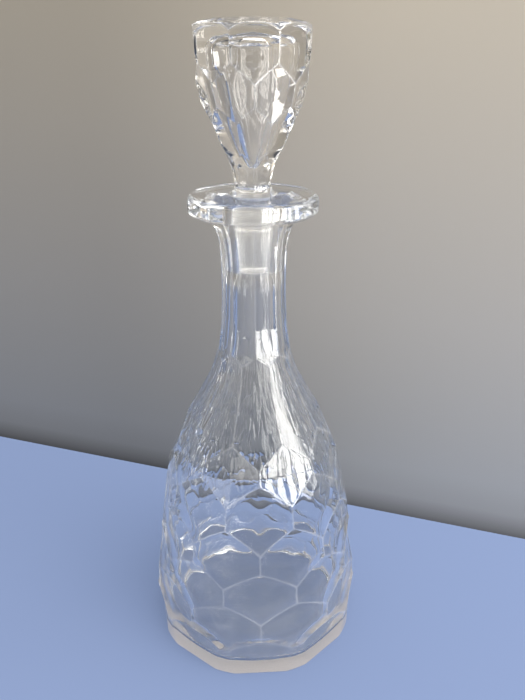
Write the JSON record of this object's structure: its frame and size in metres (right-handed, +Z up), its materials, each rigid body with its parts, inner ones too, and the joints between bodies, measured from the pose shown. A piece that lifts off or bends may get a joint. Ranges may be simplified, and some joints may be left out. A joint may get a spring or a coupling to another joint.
{
  "type": "wine decanter",
  "caption": "Tall clear glass decanter with a honeycomb-cut tapering body, fluted neck, flat faceted lip and a lift-out faceted stopper.",
  "frame": {"origin": "centre of the flat underside of the bottle", "axes": "+Z up along the bottle's axis, and one ridge of the neck points along -Y"},
  "size_m": [0.1162, 0.1176, 0.3224],
  "materials": {
    "bottle_glass": "clear, fire polished, with a ground socket in the mouth",
    "stopper_glass": "clear, polished head with a ground plug"
  },
  "bodies": {
    "bottle": {"decanter_body": "bottle_glass"},
    "stopper": {"stopper": "stopper_glass"}
  },
  "joints": [
    {"name": "stopper_lift", "type": "slide", "parent": "bottle", "child": "stopper", "axis": [0, 0, 1], "range_m": [0, 0.06]}
  ]
}
